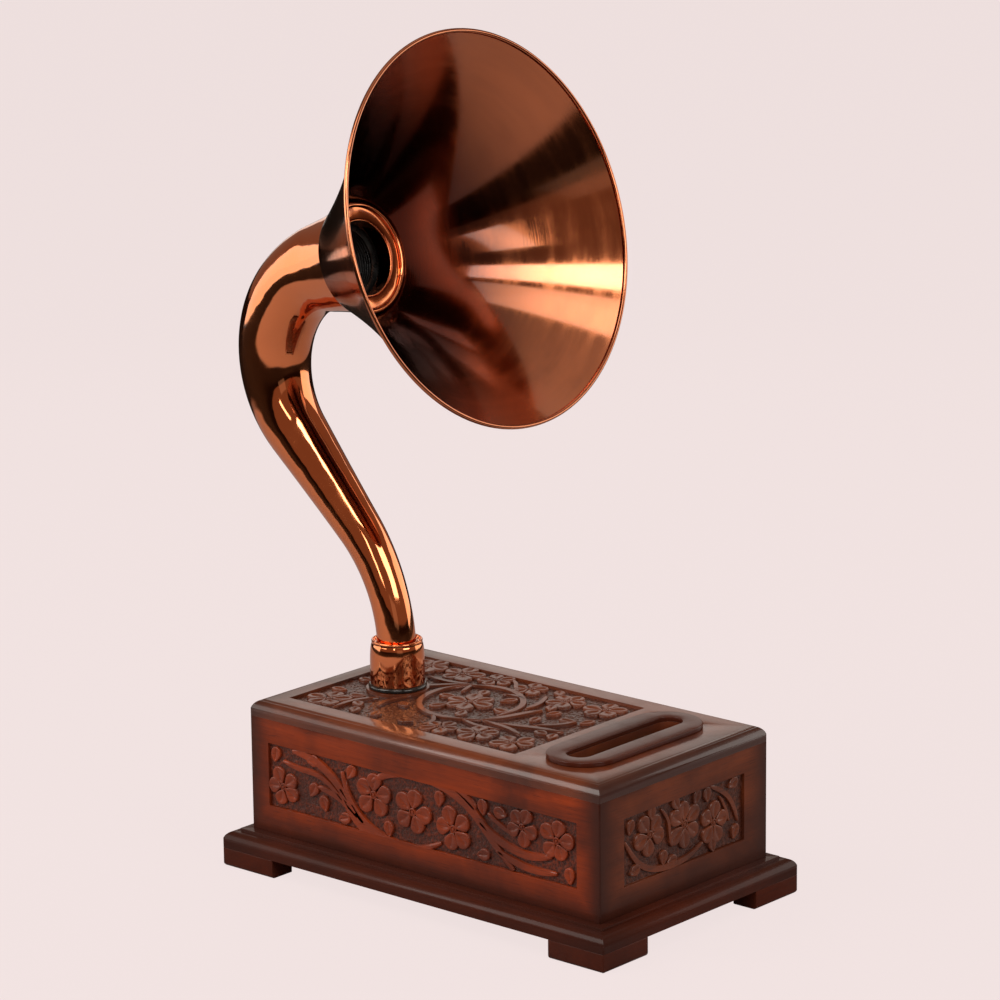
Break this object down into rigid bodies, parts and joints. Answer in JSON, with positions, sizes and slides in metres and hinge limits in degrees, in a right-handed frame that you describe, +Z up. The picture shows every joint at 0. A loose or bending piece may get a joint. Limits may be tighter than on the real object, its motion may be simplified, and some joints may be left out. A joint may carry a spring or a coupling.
{
  "type": "horn loudspeaker",
  "caption": "Carved wooden sound box on a moulded plinth with bracket feet, a phone slot, a curved copper neck and a flared copper bell.",
  "frame": {"origin": "on the surface that the feet stand on, under the middle of the whole object's outline", "axes": "+Z up; -Y is the front, where the phone slot is and the bell faces; +X to the right"},
  "size_m": [0.245, 0.3702, 0.5295],
  "materials": {
    "top_wood": "carved and lacquered, dark brown",
    "side_wood": "carved and lacquered, red brown",
    "end_wood": "carved and lacquered, dark red brown",
    "plinth_wood": "lacquered, very dark brown",
    "plate_wood": "lacquered, dark brown",
    "plain_wood": "bare sanded wood",
    "polished_copper": "polished and lacquered copper",
    "spun_copper": "spun copper with fine rings",
    "bush_brass": "turned brass",
    "screw_steel": "zinc plated",
    "ring_rubber": "glossy black rubber",
    "washer_rubber": "black rubber",
    "coupling_plastic": "black, threaded"
  },
  "bodies": {
    "cabinet": {"top_board": "top_wood", "side_panel_left": "side_wood", "side_panel_right": "side_wood", "end_panel_front": "end_wood", "end_panel_back": "end_wood", "plinth_rail_front": "plinth_wood", "plinth_rail_back": "plinth_wood", "plinth_rail_left": "plinth_wood", "plinth_rail_right": "plinth_wood", "foot_front_left": "plinth_wood", "foot_front_right": "plinth_wood", "foot_back_left": "plinth_wood", "foot_back_right": "plinth_wood", "base_board": "plain_wood", "corner_blocks": "plain_wood", "base_screws": "screw_steel", "slot_plate": "plate_wood", "phone_rest": "plain_wood", "socket_bush": "bush_brass", "bush_screws": "screw_steel"},
    "turning_ring": {"rubber_ring": "ring_rubber"},
    "horn": {"collar": "polished_copper", "neck_spigot": "polished_copper", "gooseneck": "polished_copper", "neck_end_plate": "polished_copper", "threaded_coupling": "coupling_plastic"},
    "bell_seat": {"bell_washer": "washer_rubber"},
    "bell_body": {"throat_ring": "spun_copper", "bell": "spun_copper", "rim_wire": "spun_copper"}
  },
  "joints": [
    {"name": "horn_turn", "type": "hinge", "parent": "cabinet", "child": "turning_ring", "pos_m": [0, 0.06112, 0.1086], "axis": [0, 0, 1], "continuous": true},
    {"name": "horn_lift", "type": "slide", "parent": "turning_ring", "child": "horn", "axis": [0, 0, 1], "range_m": [0, 0.045]},
    {"name": "bell_turn", "type": "hinge", "parent": "horn", "child": "bell_seat", "pos_m": [0, 0.08632, 0.3804], "axis": [0, -0.9598, 0.2807], "range_deg": [0, 900]},
    {"name": "bell_unscrew", "type": "slide", "parent": "bell_seat", "child": "bell_body", "axis": [0, -0.9598, 0.2807], "range_m": [0, 0.005]}
  ],
  "couplings": [
    {"joint": "bell_unscrew", "follows": "bell_turn", "m_per_rad": 0.00031831}
  ]
}
